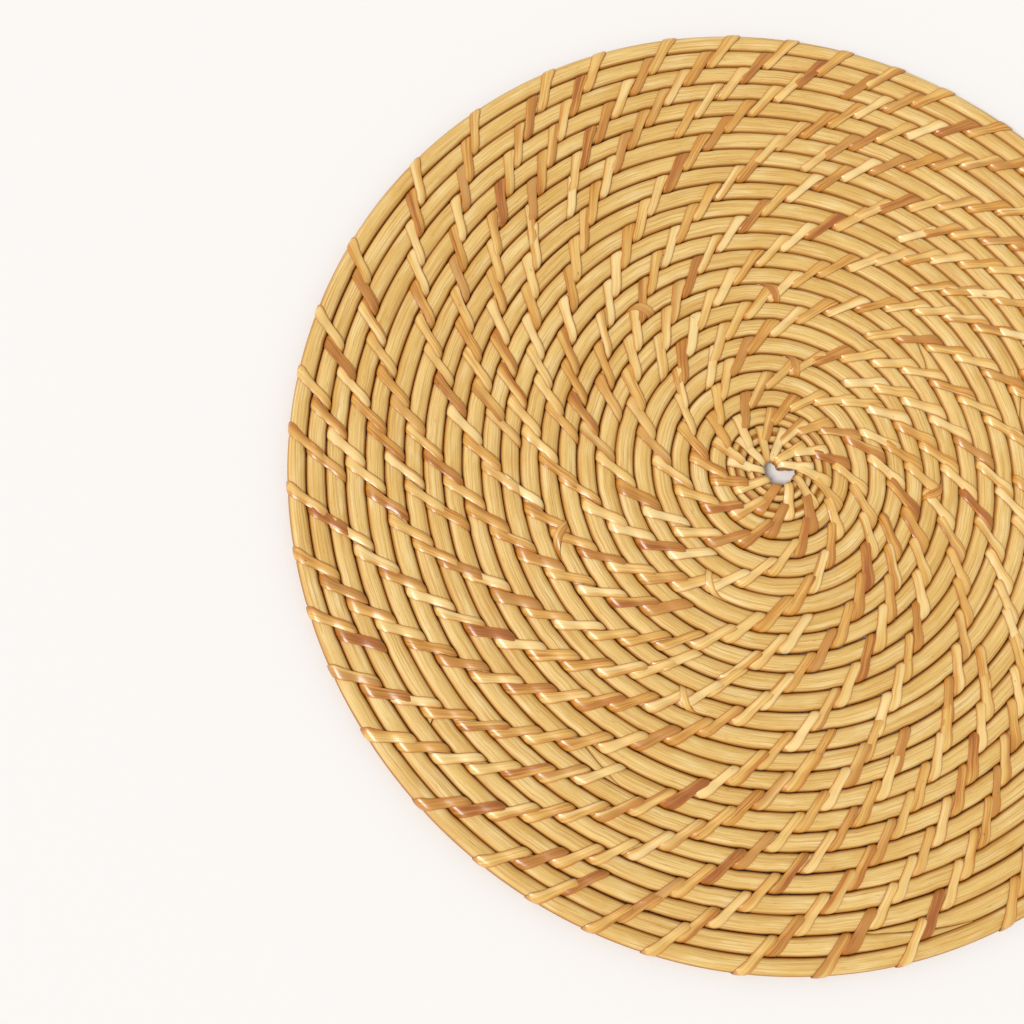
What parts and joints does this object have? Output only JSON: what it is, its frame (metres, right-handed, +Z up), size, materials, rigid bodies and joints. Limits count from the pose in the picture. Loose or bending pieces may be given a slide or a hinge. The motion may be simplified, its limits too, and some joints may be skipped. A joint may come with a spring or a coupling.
{
  "type": "coiled rattan seat pad",
  "caption": "Round flat seat pad of rattan core wound in a spiral and lashed turn to turn with slanting strips of rattan peel.",
  "frame": {"origin": "on the surface that the pad lies on, under the middle of its rim", "axes": "+Z up through the pad's thickness; the spiral starts and ends on its +X side and runs anticlockwise from the centre, seen from above"},
  "size_m": [0.3764, 0.3773, 0.0072],
  "materials": {
    "core": "smooth matt rattan core, faint lengthwise grain",
    "peel_pale": "glossy pale rattan peel",
    "peel_golden": "glossy golden rattan peel",
    "peel_amber": "glossy amber rattan peel with brown streaks"
  },
  "bodies": {
    "root": {"core_length_1": "core", "core_length_2": "core", "core_length_3": "core", "core_length_4": "core", "core_length_5": "core", "core_length_6": "core", "peel_strip_01": "peel_golden", "peel_strip_02": "peel_pale", "peel_strip_03": "peel_amber", "peel_strip_04": "peel_golden", "peel_strip_05": "peel_pale", "peel_strip_06": "peel_amber", "peel_strip_07": "peel_golden", "peel_strip_08": "peel_pale", "peel_strip_09": "peel_amber", "peel_strip_10": "peel_golden", "peel_strip_11": "peel_pale", "peel_strip_12": "peel_amber", "peel_strip_13": "peel_golden", "peel_strip_14": "peel_pale", "peel_strip_15": "peel_amber", "peel_strip_16": "peel_golden", "peel_strip_17": "peel_pale", "peel_strip_18": "peel_amber", "peel_strip_19": "peel_golden", "peel_strip_20": "peel_pale", "peel_strip_21": "peel_amber", "peel_strip_22": "peel_golden"}
  },
  "joints": []
}
